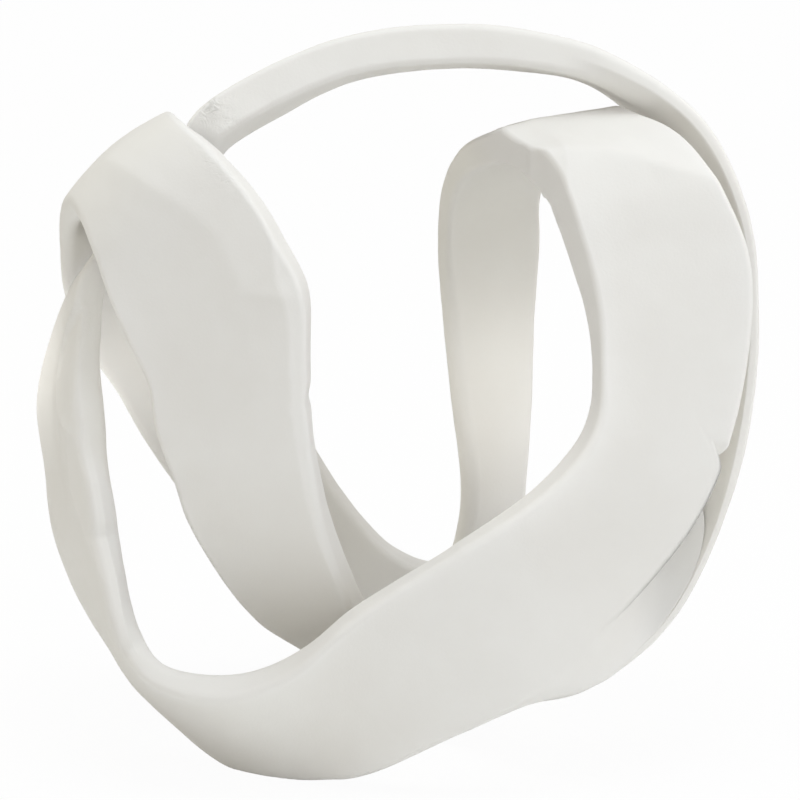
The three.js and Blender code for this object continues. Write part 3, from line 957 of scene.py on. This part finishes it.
def make_floor_finish():
    """Pale studio floor, which the camera sees nearly white with the object's shadow left on it."""
    material, nodes, links, shader = blank_material("studio_floor")
    shader.inputs["Base Color"].default_value = (0.86, 0.86, 0.855, 1)
    shader.inputs["Roughness"].default_value = 0.95
    shader.inputs["Specular IOR Level"].default_value = 0.1
    glow = nodes.new("ShaderNodeEmission")
    glow.inputs["Color"].default_value = (1, 1, 1, 1)
    glow.inputs["Strength"].default_value = 1.0
    ray = nodes.new("ShaderNodeLightPath")
    share = nodes.new("ShaderNodeMath")
    share.operation = "MULTIPLY"
    share.inputs[1].default_value = 0.95
    links.new(ray.outputs["Is Camera Ray"], share.inputs[0])
    blend = nodes.new("ShaderNodeMixShader")
    links.new(share.outputs["Value"], blend.inputs["Fac"])
    links.new(shader.outputs["BSDF"], blend.inputs[1])
    links.new(glow.outputs["Emission"], blend.inputs[2])
    surface = next(node for node in nodes if node.type == "OUTPUT_MATERIAL")
    links.new(blend.outputs["Shader"], surface.inputs["Surface"])
    return material


# Studio: places and sizes in metres, power in watts

FLOOR_HALF_WIDTH = 2.5
LAMP_TARGET = (0, 0, 0.12)
CAMERA_DISTANCE = 12.0

# The camera's sensor, and the square picture: how many of its pixels are a millimetre, and the
# height at which the viewer sees its middle, in millimetres
SENSOR_WIDTH = 36
PICTURE_PIXELS = 800
PIXELS_PER_MM = 3
SEEN_MIDDLE = 137.97


def make_floor():
    half = FLOOR_HALF_WIDTH
    mesh = bpy.data.meshes.new("floor")
    corners = [(-half, -half, 0), (half, -half, 0), (half, half, 0), (-half, half, 0)]
    mesh.from_pydata(corners, [], [(0, 1, 2, 3)])
    floor = bpy.data.objects.new("floor", mesh)
    bpy.context.scene.collection.objects.link(floor)
    mesh.materials.append(make_floor_finish())


def make_world():
    """Soft light all round the object, behind which the camera sees plain white."""
    world = bpy.data.worlds.new("studio")
    world.use_nodes = True
    nodes, links = world.node_tree.nodes, world.node_tree.links
    nodes.clear()
    surface = nodes.new("ShaderNodeOutputWorld")
    soft = nodes.new("ShaderNodeBackground")
    soft.inputs["Color"].default_value = (1, 0.94, 0.935, 1)
    soft.inputs["Strength"].default_value = 0.44
    white = nodes.new("ShaderNodeBackground")
    white.inputs["Color"].default_value = (1, 1, 1, 1)
    white.inputs["Strength"].default_value = 1.0
    ray = nodes.new("ShaderNodeLightPath")
    blend = nodes.new("ShaderNodeMixShader")
    links.new(ray.outputs["Is Camera Ray"], blend.inputs["Fac"])
    links.new(soft.outputs["Background"], blend.inputs[1])
    links.new(white.outputs["Background"], blend.inputs[2])
    links.new(blend.outputs["Shader"], surface.inputs["Surface"])
    bpy.context.scene.world = world


def aim(obj, position, target):
    """Puts a lamp or the camera at its place, turned to its target."""
    direction = Vector(target) - Vector(position)
    turn = direction.to_track_quat("-Z", "Y").to_matrix().to_4x4()
    obj.matrix_world = Matrix.Translation(position) @ turn


def add_softbox(name, position, size, power, colour):
    """A square lamp, turned to the middle of the sculpture."""
    lamp = bpy.data.lights.new(name, "AREA")
    lamp.shape = "SQUARE"
    lamp.size = size
    lamp.energy = power
    lamp.color = colour
    obj = bpy.data.objects.new(name, lamp)
    bpy.context.scene.collection.objects.link(obj)
    aim(obj, position, LAMP_TARGET)


def add_beam(name, position, target, width, power):
    """A narrow beam with a soft rim, which reaches a strap at the back through an opening."""
    lamp = bpy.data.lights.new(name, "SPOT")
    lamp.energy = power
    lamp.spot_blend = 1.0
    lamp.shadow_soft_size = 0.02
    lamp.spot_size = 2 * math.atan(width / 2 / (Vector(position) - Vector(target)).length)
    obj = bpy.data.objects.new(name, lamp)
    bpy.context.scene.collection.objects.link(obj)
    aim(obj, position, target)


def make_camera():
    """Looks down at the sculpture as the route's viewer does, from far off."""
    target = Vector(place((0, MIDDLE_BACK, SEEN_MIDDLE))) * MM
    away = Vector((0, -math.cos(LOOK_DOWN), math.sin(LOOK_DOWN)))
    seen_width = PICTURE_PIXELS / PIXELS_PER_MM * MM
    camera = bpy.data.cameras.new("camera")
    camera.sensor_width = SENSOR_WIDTH
    camera.lens = SENSOR_WIDTH * CAMERA_DISTANCE / seen_width
    camera.clip_start = 1
    camera.clip_end = 100
    obj = bpy.data.objects.new("camera", camera)
    bpy.context.scene.collection.objects.link(obj)
    aim(obj, target + away * CAMERA_DISTANCE, target)
    bpy.context.scene.camera = obj


# The scene

grain = make_grain_group()
cast_finish = make_cast_finish(grain)
pin_finish = make_pin_finish(grain)

for name, piece in build_band(cast_finish).items():
    piece.data.materials.append(cast_finish)
    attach(piece, "root")
    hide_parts(name)

for name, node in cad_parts.items():
    if "_dowel_" in name:
        node.data.materials.clear()
        node.data.materials.append(pin_finish)

make_floor()
make_world()
add_softbox("softbox_top", (0.1, -0.1, 2.4), 1.4, 31, (0.92, 0.98, 1))
add_softbox("softbox_front", (0.1, -2.4, 0.75), 1.0, 8.8, (0.94, 1, 0.92))
add_softbox("softbox_right", (2.0, -1.3, 0.9), 1.1, 10.2, (0.76, 0.84, 1))
add_softbox("softbox_right_rear", (2.3, 0.45, 0.5), 1.0, 11.2, (1, 1, 0.92))
add_softbox("softbox_left_rear", (-2.2, 0.9, 0.9), 1.0, 7.7, (1, 1, 0.72))
add_beam("beam_rear_strap", (-0.25, -2.3, 0.9), (0.04, 0.055, 0.1), 0.085, 90)
add_beam("beam_back_strap", (-1.9, -1.3, 0.5), (-0.088, 0.047, 0.117), 0.06, 120)
make_camera()
bpy.context.scene.view_settings.view_transform = "Standard"
